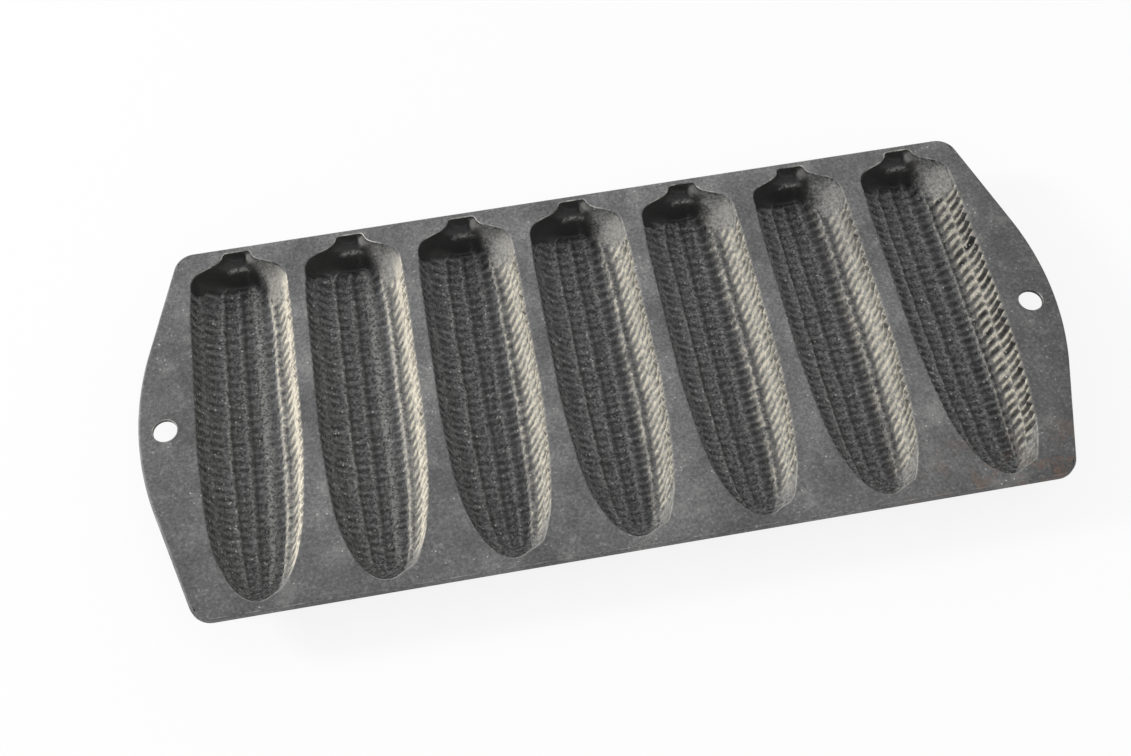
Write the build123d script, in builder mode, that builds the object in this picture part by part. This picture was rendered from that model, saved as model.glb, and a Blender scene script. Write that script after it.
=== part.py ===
from build123d import *
from math import cos, radians, sin, sqrt, tan
import os

# Cast iron corn stick pan. The whole pan is one casting: a flat plate with seven ear
# shaped moulds sunk in it side by side, and a rounded end with a hanging hole at each
# short side. X runs along the pan, Y towards the stem ends of the ears, Z up. The
# origin is under the middle of the pan, on the surface that it rests on.

# Plate
plate_thickness = 4.4
plate_corner_radius = 8.0
plate_edge_radius = 1.1
edge_limit_share = 0.45
front_margin = 3.9
back_margin = 2.6

# Ears: the hollows that shape the corn sticks
ear_count = 7
ear_width = 39.3
ear_length = 148.5
ear_depth = 16.6
ear_land = 5.7
side_radius = 700.0
widest_from_tip = 91.6
tip_taper_length = 44.0
tip_width_power = 3.28
tip_depth_power = 3.0
tip_plain_length = 7.9
butt_length = 11.4

# Kernels: one row is a string of pockets along the ear, with crests between the rows.
# Their pitch differs from row to row and grows towards the butt: a growth share of
# 0.1 makes a row's first kernels a tenth shorter than its mean, its last a tenth longer
kernels_per_row = (34, 38, 35, 36, 37, 31, 34)
kernel_growth_shares = (0.05, 0.15, 0.12, 0.15, 0.19, 0.09, 0.05)
kernel_stations = 102
crest_height = 1.3
notch_height = 0.75
row_edge_angles = (-90.0, -60.0, -31.0, -9.0, 10.5, 34.0, 60.0, 90.0)
smooth_kernels_at_butt = (2, 1, 0, 0, 0, 1, 2)
smooth_kernels_at_tip = (3, 1, 0, 0, 0, 1, 3)

# The bare tip of the hollow is rounded off in steps, the last just short of its point
tip_steps = 5
tip_end_share = 0.99

# Butt and stem end of the ear: how far each step lies past the last kernel, as a
# share of the length left there, with the half width and depth of the hollow as
# shares of the ear's own, and what is left of the crests there
butt_place_shares = (0.105, 0.246, 0.368, 0.474, 0.570, 0.772, 1.0)
butt_width_shares = (0.880, 0.814, 0.702, 0.560, 0.433, 0.300, 0.270)
butt_depth_shares = (0.994, 0.982, 0.940, 0.753, 0.386, 0.319, 0.277)
butt_crest_shares = (1.0, 0.9, 0.7, 0.4, 0, 0, 0)

# Cup walls under the plate, the gap left between two cups and the flat they stand on
floor_wall = 3.9
end_wall = 1.9
cup_gap = 0.6
flat_width = 10.0
cup_bulge_share = 0.17
cup_tip_share = 0.9
cup_stations = 14

# Hanging ends
end_reach = 17.5
end_shoulder_reach_share = 0.726
end_shoulder_width_share = 0.4356
hole_diameter = 9.0
hole_straight_length = 1.5
hole_flare_angle = 80.0
hole_offset = 7.6
left_hole_y = -0.7
right_hole_y = -4.4

# One overrun serves every cut
overrun = 1.0

# Sizes and places that follow from the ones above
ear_pitch = ear_width + ear_land
corner_x = ear_count * ear_pitch / 2
half_length = corner_x + end_reach
plate_width = ear_length + front_margin + back_margin
half_width = plate_width / 2
pan_height = ear_depth + floor_wall
plate_bottom = pan_height - plate_thickness
tip_y = front_margin - half_width
stem_y = half_width - back_margin
widest_y = tip_y + widest_from_tip
first_kernel_y = tip_y + tip_plain_length
last_kernel_y = stem_y - butt_length
kernel_zone_length = last_kernel_y - first_kernel_y
side_wall = (ear_land - cup_gap) / 2
hole_flare = (plate_thickness - hole_straight_length) * tan(radians(hole_flare_angle / 2))
edge_radius = min(plate_edge_radius, plate_thickness * edge_limit_share)


def tip_share(y):
    """How far y lies into the tapering tip, from 0 where it starts to 1 at its end."""
    return max(0, (tip_y + tip_taper_length - y) / tip_taper_length)


def half_width_at(y):
    """Half width of the hollow at the plate's top."""
    side = ear_width / 2 - (y - widest_y) ** 2 / (2 * side_radius)
    return side * sqrt(1 - tip_share(y) ** tip_width_power)


def depth_at(y):
    """Depth of the hollow below the plate's top."""
    return ear_depth * sqrt(1 - tip_share(y) ** tip_depth_power)


def kernels_before(row, length_share):
    """Kernels of one row up to a share of the kernel zone's length, from the tip."""
    growth = kernel_growth_shares[row]
    return kernels_per_row[row] * length_share * (1 + growth * (1 - length_share))


def cross_plane(y):
    """Upright plane across an ear, at the plate's top, with local y upwards."""
    return Plane(origin=(0, y, pan_height), x_dir=(1, 0, 0), z_dir=(0, -1, 0))


def hollow_point(width, depth, angle, inset):
    """Point on an ear's half round section, drawn in towards its middle by inset."""
    across = width * sin(radians(angle))
    down = depth * cos(radians(angle))
    kept = 1 - inset / sqrt(across**2 + down**2)
    return (across * kept, -down * kept)


def hollow_section(y, width, depth, crests, notches):
    """Section across a hollow: one arc a row, crests between, a lid above the plate."""
    size_share = width / (ear_width / 2)
    edges = []
    for angle, crest in zip(row_edge_angles, crests):
        edges.append(hollow_point(width, depth, angle, crest * size_share))
    edges[0] = (edges[0][0], overrun)
    edges[-1] = (edges[-1][0], overrun)
    with BuildSketch(cross_plane(y)) as section:
        with BuildLine():
            for row, notch in enumerate(notches):
                middle = (row_edge_angles[row] + row_edge_angles[row + 1]) / 2
                crown = hollow_point(width, depth, middle, notch * size_share)
                ThreePointArc(edges[row], crown, edges[row + 1])
            Line(edges[-1], edges[0])
        make_face()
    return section.sketch


# Hollow of one ear, as a solid: the tip, the kernel rows, then the butt and stem
with BuildPart() as hollow:
    rows = len(kernels_per_row)
    full_crests = [0] + [crest_height] * (rows - 1) + [0]
    plain_rows = [0] * rows
    sections = []

    for step in range(tip_steps):
        lean = sin(radians(90 * (1 - step / tip_steps)))
        station_y = first_kernel_y - tip_plain_length * tip_end_share * lean
        faded_crests = [crest * step / tip_steps for crest in full_crests]
        width, depth = half_width_at(station_y), depth_at(station_y)
        sections.append(hollow_section(station_y, width, depth, faded_crests, plain_rows))

    for station in range(kernel_stations + 1):
        station_y = first_kernel_y + kernel_zone_length * station / kernel_stations
        notches = []
        for row in range(rows):
            from_tip = kernels_before(row, station / kernel_stations)
            from_butt = kernels_per_row[row] - from_tip
            is_next = int(from_tip) > int(kernels_before(row, (station - 1) / kernel_stations))
            is_smooth = from_tip < smooth_kernels_at_tip[row] or from_butt < smooth_kernels_at_butt[row]
            notches.append(notch_height if is_next and not is_smooth else 0)
        crests = [notches[0]] + [crest_height] * (rows - 1) + [notches[-1]]
        width, depth = half_width_at(station_y), depth_at(station_y)
        sections.append(hollow_section(station_y, width, depth, crests, notches))

    butt_shares = zip(butt_place_shares, butt_width_shares, butt_depth_shares, butt_crest_shares)
    for place, wide, deep, kept in butt_shares:
        station_y = last_kernel_y + butt_length * place
        faded_crests = [crest * kept for crest in full_crests]
        width, depth = wide * ear_width / 2, deep * ear_depth
        sections.append(hollow_section(station_y, width, depth, faded_crests, plain_rows))
    loft(sections, ruled=True)

# Outside of one cup, as a solid that starts inside the plate
with BuildPart() as cup:
    cup_top = -plate_thickness / 2
    cup_places = []
    for step in range(cup_stations + 1):
        station_y = tip_y + (last_kernel_y - tip_y) * sin(radians(90 * step / cup_stations)) ** 2
        cup_places.append((station_y, half_width_at(station_y), depth_at(station_y)))
    for place, wide, deep in zip(butt_place_shares, butt_width_shares, butt_depth_shares):
        station_y = last_kernel_y + butt_length * place
        cup_places.append((station_y, wide * ear_width / 2, deep * ear_depth))
    for station_y, width, depth in cup_places:
        from_middle = (station_y - (tip_y + stem_y) / 2) / (ear_length / 2)
        cup_y = station_y + end_wall * from_middle
        cup_half = width + side_wall
        cup_drop = max(depth + floor_wall, plate_thickness * cup_tip_share)
        flat_half = flat_width / 2 * cup_half / (ear_width / 2 + side_wall)
        rise = cup_drop + cup_top
        run = cup_half - flat_half
        bulge_x = (cup_half + flat_half) / 2 + cup_bulge_share * rise
        bulge_y = (cup_top - cup_drop) / 2 - cup_bulge_share * run
        with BuildSketch(cross_plane(cup_y)):
            with BuildLine():
                ThreePointArc((-cup_half, cup_top), (-bulge_x, bulge_y), (-flat_half, -cup_drop))
                Line((-flat_half, -cup_drop), (flat_half, -cup_drop))
                ThreePointArc((flat_half, -cup_drop), (bulge_x, bulge_y), (cup_half, cup_top))
                Line((cup_half, cup_top), (-cup_half, cup_top))
            make_face()
    loft(ruled=True)

# Whole plate, with its worn edges rounded
with BuildPart() as plate:
    with BuildSketch(Plane.XY.offset(plate_bottom)) as outline:
        with BuildLine():
            shoulder_x = corner_x + end_reach * end_shoulder_reach_share
            shoulder_y = half_width * end_shoulder_width_share
            for side in (-1, 1):
                front = (side * shoulder_x, -shoulder_y)
                back = (side * shoulder_x, shoulder_y)
                ThreePointArc(front, (side * half_length, 0), back)
                Line(front, (side * corner_x, -half_width))
                Line(back, (side * corner_x, half_width))
                Line((-corner_x, side * half_width), (corner_x, side * half_width))
        make_face()
        corners = outline.vertices().group_by(Axis.Y)
        fillet(corners[0] + corners[-1], plate_corner_radius)
    extrude(amount=plate_thickness)
    rims = plate.edges().group_by(Axis.Z)
    fillet(rims[0] + rims[-1], edge_radius)


def ear_mould(ear_x):
    """One ear mould: its slice of the plate, the cup under it and the hollow in both."""
    with BuildPart() as mould:
        add(plate.part)
        with Locations((ear_x, 0, pan_height)):
            Box(ear_pitch, plate_width + overrun, 2 * pan_height, mode=Mode.INTERSECT)
        with Locations((ear_x, 0, 0)):
            add(cup.part)
            add(hollow.part, mode=Mode.SUBTRACT)
    return mould.part


os.makedirs("parts", exist_ok=True)

# The seven moulds: those between the first and the last are alike
last_x = corner_x - ear_pitch / 2
end_moulds = {1: ear_mould(-last_x), ear_count: ear_mould(last_x)}
middle_mould = ear_mould(0)
for number in range(1, ear_count + 1):
    with BuildPart() as mould:
        if number in end_moulds:
            add(end_moulds[number])
        else:
            with Locations((-last_x + (number - 1) * ear_pitch, 0, 0)):
                add(middle_mould)
    mould.part.label = f"corn_ear_mould_{number}"
    export_step(mould.part, f"parts/corn_ear_mould_{number}.step")

# The two hanging ends, each with its hole, which flares out under its short straight wall
for side, name, hole_y in ((-1, "left", left_hole_y), (1, "right", right_hole_y)):
    with BuildPart() as hanging_end:
        add(plate.part)
        with Locations((side * (corner_x + end_reach), 0, pan_height)):
            Box(2 * end_reach, plate_width + overrun, 2 * pan_height, mode=Mode.INTERSECT)
        underside = Plane((side * (corner_x + hole_offset), hole_y, plate_bottom), z_dir=(0, 0, -1))
        with Locations(underside):
            CounterSinkHole(
                hole_diameter / 2,
                hole_diameter / 2 + hole_flare,
                counter_sink_angle=hole_flare_angle,
            )
    hanging_end.part.label = f"hanging_end_{name}"
    export_step(hanging_end.part, f"parts/hanging_end_{name}.step")
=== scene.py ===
"""Looks of the cast iron corn stick pan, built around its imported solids."""

from functools import partial
from types import SimpleNamespace

import bmesh
import bpy
import numpy as np
from mathutils import Matrix, Vector
from mathutils.geometry import tessellate_polygon


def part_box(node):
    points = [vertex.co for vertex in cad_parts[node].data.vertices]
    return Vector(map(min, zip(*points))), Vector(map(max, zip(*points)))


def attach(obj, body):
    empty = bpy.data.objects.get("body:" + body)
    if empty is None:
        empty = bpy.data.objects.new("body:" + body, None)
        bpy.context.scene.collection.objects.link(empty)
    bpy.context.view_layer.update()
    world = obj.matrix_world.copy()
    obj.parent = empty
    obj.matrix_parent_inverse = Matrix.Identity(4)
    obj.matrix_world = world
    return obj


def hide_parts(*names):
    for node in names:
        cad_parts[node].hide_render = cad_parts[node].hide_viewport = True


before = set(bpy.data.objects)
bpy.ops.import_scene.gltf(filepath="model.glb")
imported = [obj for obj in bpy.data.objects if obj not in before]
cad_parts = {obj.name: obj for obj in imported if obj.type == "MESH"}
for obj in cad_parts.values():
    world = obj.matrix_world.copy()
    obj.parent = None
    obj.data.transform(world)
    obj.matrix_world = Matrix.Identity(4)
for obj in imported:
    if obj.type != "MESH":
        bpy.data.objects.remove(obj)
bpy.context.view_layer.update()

MM = 0.001

# Plate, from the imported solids
mould_low, mould_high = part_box("corn_ear_mould_1")
end_low, end_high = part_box("hanging_end_right")
ear_pitch = mould_high.x - mould_low.x
plate_top = end_high.z
plate_bottom = end_low.z
plate_thickness = plate_top - plate_bottom
half_width = mould_high.y
row_end_x = end_low.x
end_reach = end_high.x - end_low.x
corner_radius = 8.0 * MM
corner_steps = 9
bow_steps = 17
shoulder_reach_share = 0.726
shoulder_width_share = 0.4356

# Edges of the casting: their rounding, how bare they are rubbed and how much painted shine
# they catch, and the flat strip beside them that steadies the shading
edge_radius = 1.1 * MM
edge_rub_and_shine = 0.82
edge_shine_spread = 0.2
underside_shine_share = 0.5
rim_radius = 0.5 * MM
rim_inset = 0.25 * MM
rim_shine_spread = 0.5
hole_rim_radius = 0.4 * MM
guard_strip = 0.3 * MM
guard_room_share = 0.2
rounding_steps = 4
sharp_angle = np.radians(40)

# Hanging ends
hole_radius = 4.5 * MM
hole_straight_length = 1.5 * MM
hole_flare_angle = np.radians(40)
hole_centres = {"left": (-165.1 * MM, -0.7 * MM), "right": (165.1 * MM, -4.4 * MM)}
hole_steps = 64

# Ears: the hollows in the plate. A table of seven values is for the ears from left to right
ear_count = 7
last_ear = ear_count - 1
ear_width = 39.3 * MM
ear_depth = 16.6 * MM
front_margin = 3.9 * MM
back_margin = 2.6 * MM
widest_from_tip = 91.6 * MM
side_radius = 700.0 * MM
tip_taper_length = 44.0 * MM
tip_width_power = 3.28
tip_depth_power = 3.0
tip_plain_length = 7.9 * MM
butt_length = 11.4 * MM
tip_y = front_margin - half_width
stem_y = half_width - back_margin
first_kernel_y = tip_y + tip_plain_length
last_kernel_y = stem_y - butt_length
kernel_zone_length = last_kernel_y - first_kernel_y
hollow_steps = (16, 8)
station_step = 0.2 * MM

# The tip is fuller on its right: how much wider, at places after the tip's end
heel_places = np.array([0.0, 1.5, 4.3, 8.5, 12.0, 19.0, 26.0]) * MM
heel_widths = np.array([0.0, -0.4, 2.2, 1.3, 0.8, 0.35, 0.0]) * MM
heel_shares = np.array([0.4, 0.8, 1.0, 1.0, 1.0, 1.0, 1.0])

# No two ears are quite alike: how much wider than the rest each is on its left and its right
left_extras = np.array([-0.1, 0.0, 0.2, 0.4, 0.0, -0.7, 0.0]) * MM
right_extras = np.array([0.9, 0.9, 0.4, 0.3, 0.5, 0.1, 0.0]) * MM
extra_places = np.array([5.0, 14.0]) * MM

# Butt and stem of an ear: half width and depth at places before the stem's end
butt_width_places = np.array(
    [0.0, 1.5, 2.5, 3.3, 4.0, 4.7, 5.5, 6.2, 7.0, 8.0, 9.0, 10.0, 12.0, 15.0]) * MM
butt_half_widths = np.array(
    [5.3, 5.5, 5.9, 6.5, 7.2, 8.2, 9.8, 11.6, 13.4, 15.2, 16.4, 17.1, 17.9, 18.8]) * MM
butt_depth_places = np.array([0.0, 2.6, 4.5, 5.0, 5.7, 6.2, 8.0, 12.0]) * MM
butt_depths = np.array([4.6, 5.2, 5.6, 6.6, 14.8, 16.3, 16.6, 16.6]) * MM
butt_softness = 0.35 * MM
softening_samples = 9
softening_fade_share = 0.8
stem_shift = 0.5 * MM
stem_corner_radius = 1.4 * MM
stem_end_curve = 1.0 * MM

# The end wall's foot: a line over the floor of the hollow, nearer the tip at its sides
foot_y = 69.0 * MM
foot_reach = 17.0 * MM
foot_setback = 6.1 * MM
foot_power = 2.9

# On its right the hollow runs up to the butt like a bowl
bowl_start = 25.0 * MM
bowl_end = 4.5 * MM
bowl_rise_share = 0.6
bowl_power = 1.8
bowl_angles = np.radians([18.0, 45.0])

# Kernels: seven rows of pockets along an ear, with crests between the rows. Every row
# has its own pitch, which grows towards the butt, and the two right rows lie aslant.
# Angles go round the hollow from its left rim at -90 degrees to its right rim at 90
row_edge_angles = np.radians([-90.0, -60.0, -31.0, -9.0, 10.5, 34.0, 60.0, 90.0])
kernels_per_row = np.array([34, 38, 35, 36, 37, 31, 34])
kernel_growth_shares = np.array([0.05, 0.15, 0.12, 0.15, 0.19, 0.09, 0.05])
row_starts = np.array([0.33, 0.0, 0.67, 0.33, 0.67, 0.0, 0.33])
row_number_step = 200
kernel_shift = 0.37
last_row = len(kernels_per_row) - 1
columns_per_row = 13
slant_angles = np.radians([-90.0, 34.0, 43.0, 60.0, 90.0])
slant_places = np.array([0.0, 0.0, 1.0, 4.4, 7.2]) * MM
last_slant_places = np.array([0.0, 0.0, 0.8, 2.3, 2.9]) * MM

# How far round the hollow the crest under the second row from the right strays, ear by ear
crest_strays = np.radians([4.0, 3.0, 0.0, 1.0, 1.5, 1.5, 0.0])

# Crests: height at each edge between rows, with the last one lower in the last ear, and beads
crest_heights = np.array([0.0, 0.8, 1.1, 0.9, 1.1, 1.8, 0.5, 0.0]) * MM
last_crest_shares = np.array([1.0, 1.0, 1.0, 1.0, 1.0, 1.0, 0.55])
bead_depth_share = 0.2

# Notches between the kernels of a row: row by row, then ear by ear
notch_height_shares = np.array([0.6, 0.75, 0.5, 0.5, 0.65, 1.0, 1.0])
notch_heights = np.array([0.65, 0.65, 0.75, 0.8, 0.8, 0.9, 1.5]) * MM
notch_back_shares = np.array([0.6, 0.6, 0.55, 0.55, 0.55, 0.6, 0.68])
notch_powers = np.array([1.2, 1.2, 1.4, 1.4, 1.4, 1.3, 0.95])
rim_notch_growths = np.array([0.8, 0.8, 0.8, 0.8, 0.8, 0.8, 0.25])
rim_notch_angles = np.radians([78.0, 89.0])
uneven_low, uneven_high = 0.5, 1.35

# A smooth band beside the strayed crest, its dust thinned as painted shade, which ends short of the end
# wall's foot
shaded_angles = np.radians([36.0, 38.0, 42.0, 46.0])
shaded_levels = np.array([1.0, 0.2, 0.25, 1.0])
shaded_end_places = np.array([0.0, 7.0]) * MM

# Painted shade in the front half of each kernel's pocket, as shares of the kernel and of its row;
# the last ear's right rows have wider and darker ones
pocket_offset_share = 0.08
pocket_end_shares = (0.1, 0.34)
pocket_side_share = 0.5
pocket_notch_share = 0.35
crest_start_share = 0.3
last_crest_start_share = 0.7
last_pocket_shade_level = 1.5
right_row_angles = np.radians([28.0, 36.0])

# The rows end at the tip, at the foot of the end wall, and lower on the left rim
tip_plain_angles = np.radians([0, 22, 47, 75, 90])
tip_plain_lengths = np.array([0.0, 0.8, 3.0, 8.0, 11.0]) * MM
tip_plain_fade = 5.0 * MM
row_end_angles = np.radians([-90, -60, -45, 25, 38, 60, 75, 90])
row_end_places = np.array([60.0, 63.0, 70.0, 70.0, 60.0, 58.0, 57.0, 57.0]) * MM
row_end_fade = 1.6 * MM
right_end_fade = 7.0 * MM
left_rim_relief_share = 0.4
left_rim_angles = np.radians([72.0, 88.0])

# The pattern was carved by hand, so its lines wander, and the sand mould left a grain
wander_height = 1.2 * MM
wander_length = 9.0 * MM
wander_depth = 2.5 * MM
grain_height = 0.3 * MM
grain_length = 1.2 * MM
first_seed = 11
seed_spacing = 3.7

# Painted highlight on the lip between the end wall and the stem
lip_places = np.array([3.2, 4.2, 6.2, 7.0]) * MM
lip_depth = 6.1 * MM
lip_width = 0.7 * MM
lip_half_length = 4.5 * MM
lip_end_fade = 1.0 * MM

# Pale crest lines, paler than the rest of a hollow and broad in the first two ears: rubbed bare, with a
# painted highlight
pale_crest_angles = np.radians([-31.0, -9.5, 12.5, 33.0])
pale_crest_widths = np.radians([1.6, 1.4, 2.2, 3.0])
pale_crest_levels = np.array([0.6, 0.42, 0.5, 0.25])
broad_pale_ears = 2
broad_pale_widths = np.radians([1.8, 1.6, 6.5, 4.5])
broad_pale_levels = np.array([0.8, 0.6, 1.1, 1.0])

# Worn rims with painted shine, barest and brightest at the stem and at the tip
rim_rub_and_shine = 0.3
tip_rim_rub_and_shine = 0.88
tip_rim_places = np.array([42.0, 58.0]) * MM

# Painted shade: bands beside the crests, the left wall, and the end wall but for the ridge on it
shade_paint_angles = np.radians([-25.5, -3.0, 20.5, 42.0])
shade_paint_widths = np.radians([2.0, 2.4, 4.0, 4.5])
shade_paint_levels = np.array([1.5, 1.7, 1.2, 1.2])
left_shade_paint_level = 0.45
left_shade_paint_angles = np.radians([30.0, 50.0])
wall_shade_paint_level = 1.6
wall_shade_paint_places = np.array([-3.2, -1.4]) * MM
wall_shade_paint_sides = np.array([-9.0, -6.0]) * MM
ridge_angle = np.radians(13.5)
ridge_width = np.radians(4.5)
ridge_share = 0.5
ridge_places = np.array([-71.0, -67.0]) * MM

# Flour dust on the right wall: where it starts, how thick it lies, and where it is heavy,
# rubbed off or thin
dust_angles = np.radians([30.0, 30.0, 32.0, 28.0, 27.0, 26.0, 33.0])
dust_shares = np.array([1.0, 0.95, 0.9, 0.88, 0.88, 0.85, 0.75])
dust_fade = np.radians(5.0)
# How much the dust thins in the shaded band, which paints its shade
shade_powers = np.array([0.15, 0.22, 0.4, 0.4, 0.4, 0.4, 0.4])
heavy_dust_shares = np.array([0.42, 0.36, 0.12, 0.05, 0.0, 0.0, 0.0])
heavy_dust_angles = np.radians([50.0, 62.0])
heavy_dust_places = np.array([-66.0, -58.0]) * MM
bare_shares = np.array([0.0, 0.0, 0.0, 0.0, 0.1, 0.35, 0.15])
bare_places = np.array([5.0, 45.0]) * MM
stem_bare_share = 0.45
stem_bare_places = np.array([66.0, 70.0]) * MM
tip_bare_share = 0.55
tip_bare_places = np.array([60.0, 70.0]) * MM
rim_bare_depths = np.array([0.6, 2.2]) * MM
rim_bare_places = np.array([60.0, 64.0]) * MM
thin_shares = np.array([0.2, 0.3, 0.6, 0.8, 0.8, 0.8, 0.5])
thin_angles = np.radians([39.0, 46.0])
# Where the right shoulder takes dust as if it faced the lamp, which paints the light on it
bowl_dust_places = np.array([57.0, 62.0]) * MM

# Cups under the plate
side_wall = 2.55 * MM
flat_half_width = 5.0 * MM
end_wall = 1.0 * MM
cup_fillet = 2.2 * MM
fillet_room_share = 0.7
cup_step = 1.2 * MM
cup_steps = (10, 6)
cup_columns = 49

# Light: soft and low from the left, with a white surround
window_direction = (-0.86, 0.27, 0.43)
window_distance = 2.4
window_size = 0.4
window_power = 37
surround_level = 0.72
paper_glow_share = 0.86
paper_reach = 6.0

# Noises in the iron's finish: size of their blotches in millimetres, detail and roughness
noises = {
    "patches": (24, 6.0, 0.6), "scuffs": (12, 9.0, 0.75), "rubs": (7, 4.0, 0.7),
    "mottle": (5, 4.0, 0.7), "flour": (2.4, 5.0, 0.7), "pits": (1.2, 4.0, 0.8),
    "grain": (1.1, 3.0, 0.75)}

# Scattered dots: their spacing in millimetres
# The bright grains are painted glints; the specks are the iron's own
dots = {"specks": 2.1, "bright grains": 1.6}

# Ramps: the value that each follows, two levels of it, and what the ramp gives at each
ramps = {
    "oil": ("patches", 0.36, 0.66, 0.0, 1.0),
    "to the ends": ("off middle", 0.11, 0.17, 1.0, 0.8),
    "to the front": ("y", -0.075, 0.0, 0.8, 1.0),
    "to the right": ("x", 0.12, 0.165, 1.0, 0.78),
    "grain shade": ("grain", 0.34, 0.66, 0.62, 1.38),
    "fleck": ("grain", 0.6, 0.7, 0.0, 0.6),
    "flecks here": ("mottle", 0.42, 0.6, 0.2, 1.0),
    "scuff": ("scuffs", 0.54, 0.72, 0.0, 0.6),
    "speck": ("specks", 0.1, 0.17, 1.0, 0.0),
    "specks here": ("scuffs", 0.5, 0.6, 0.0, 1.0),
    "pit": ("pits", 0.42, 0.62, 0.0, 1.0),
    "rung top": ("rung", 0.15, 0.6, 0.0, 0.6),
    "rungs here": ("mottle", 0.4, 0.62, 0.15, 1.0),
    "pockets here": ("mottle", 0.38, 0.58, 0.25, 0.75),
    "wear here": ("pits", 0.42, 0.58, 0.05, 1.0),
    "bright grain": ("bright grains", 0.17, 0.26, 1.0, 0.0),
    "bright grains here": ("mottle", 0.48, 0.6, 0.0, 0.9),
    "grains on rungs": ("rung", 0.0, 0.4, 0.35, 1.0),
    # No painted glints where shade is painted
    "free of soot": ("soot", 0.3, 1.0, 1.0, 0.0),
    "rim line": ("rim", 0.7, 0.95, 0.0, 1.0),
    "rubs here": ("rubs", 0.42, 0.66, 0.0, 1.0),
    "rust to the right": ("x", 0.07, 0.15, 0.0, 1.0),
    "rust to the front": ("y", -0.05, -0.07, 0.0, 0.75),
    "rust here": ("rubs", 0.5, 0.66, 0.0, 1.0),
    "flour here": ("flour", 0.34, 0.6, 0.32, 1.0),
    "blotch": ("mottle", 0.45, 0.58, 0.1, 1.0),
    "high dust": ("rung", 0.1, 0.6, 0.0, 1.0),
    "heavy dust": ("dust", 0.95, 1.45, 0.0, 0.6),
    "dust grain": ("pits", 0.35, 0.65, 0.85, 1.12)}

# Shares of each coat: what is multiplied for it
products = {
    # Darker towards the ends, and towards the front and the right as painted sheen falling off
    "rubbing": ("to the ends", "to the front", "to the right"),
    "flecks": ("fleck", "flecks here"),
    "bright specks": ("speck", "specks here"),
    # Painted shade beside the crests and on the walls
    "soot film": ("soot", 0.6),
    # Painted highlight on the notch tops
    "rung coat": ("rung top", "rungs here"),
    # Painted shade in the pockets
    "pocket coat": ("pocket", "pockets here"),
    # Bare crests with painted highlight, and the painted highlight on the lip
    "wear coat": ("wear", "wear here"),
    # Painted glints on the lit rungs
    "grains in patches": ("bright grain", "bright grains here"),
    "clean rungs": ("grains on rungs", "free of soot"),
    "grain coat": ("grains in patches", "clean rungs"),
    # Bare rims, whose pale line is also painted shine
    "bare rim": ("rim line", "rubs here"),
    "rust": ("rust to the right", "rust to the front", "rust here"),
    # Dust on the right shoulder as if it faced the lamp: painted light
    "bowl lean": ("bowl", 0.6),
    # Less dust where the pocket shade is painted
    "dust in pockets": ("pocket", 0.5)}

# Coats from the iron up, with their colours: on the plate, in the moulds, and on both
plate_coats = (("flecks", "#9c9b98"), ("scuff", "#8c8b88"), ("bright specks", "#c2c2c1"))
# In the moulds: painted shade by the crests and on the walls, painted highlight on the rungs, painted shade
# in the pockets, bare crests with painted highlight, painted glints
mould_coats = (
    ("soot film", "#2b2b2b"), ("rung coat", "#7d7e7f"), ("pocket coat", "#1d1d1e"),
    ("wear coat", "#a1a19f"), ("grain coat", "#dadad7"))
# The bare rims' pale line also paints their shine
casting_coats = (("bare rim", "#d0cdc6"), ("rust", "#6f5443"))

# Inputs of a colour mix for the colour below and the one above
BELOW, ABOVE = 6, 7


def srgb(code):
    """Linear colour for a sRGB hex code."""
    parts = [int(code[i:i + 2], 16) / 255 for i in (1, 3, 5)]
    return [c / 12.92 if c <= 0.04045 else ((c + 0.055) / 1.055) ** 2.4 for c in parts] + [1.0]


def add_node(tree, kind, inputs=None, **settings):
    """Adds a node to a tree. An input takes a value, an output, or a node for its first output."""
    node = tree.nodes.new(kind)
    for name, value in settings.items():
        setattr(node, name, value)
    for name, value in (inputs or {}).items():
        if isinstance(value, bpy.types.Node):
            value = next(output for output in value.outputs if output.enabled)
        if isinstance(value, bpy.types.NodeSocket):
            tree.links.new(value, node.inputs[name])
        else:
            node.inputs[name].default_value = value
    return node


def smooth_step(value, start, end):
    """0 up to start, 1 from end on, and an even slope between them."""
    share = np.clip((value - start) / (end - start), 0, 1)
    return share * share * (3 - 2 * share)


def softened(place, places, values, softness):
    """Broken line through the points, with its corners softened over a short length."""
    offsets = np.linspace(-1, 1, softening_samples)
    weights = 1 - np.abs(offsets) * softening_fade_share
    samples = [np.interp(place + softness * offset, places, values) for offset in offsets]
    return np.average(samples, axis=0, weights=weights)


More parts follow.
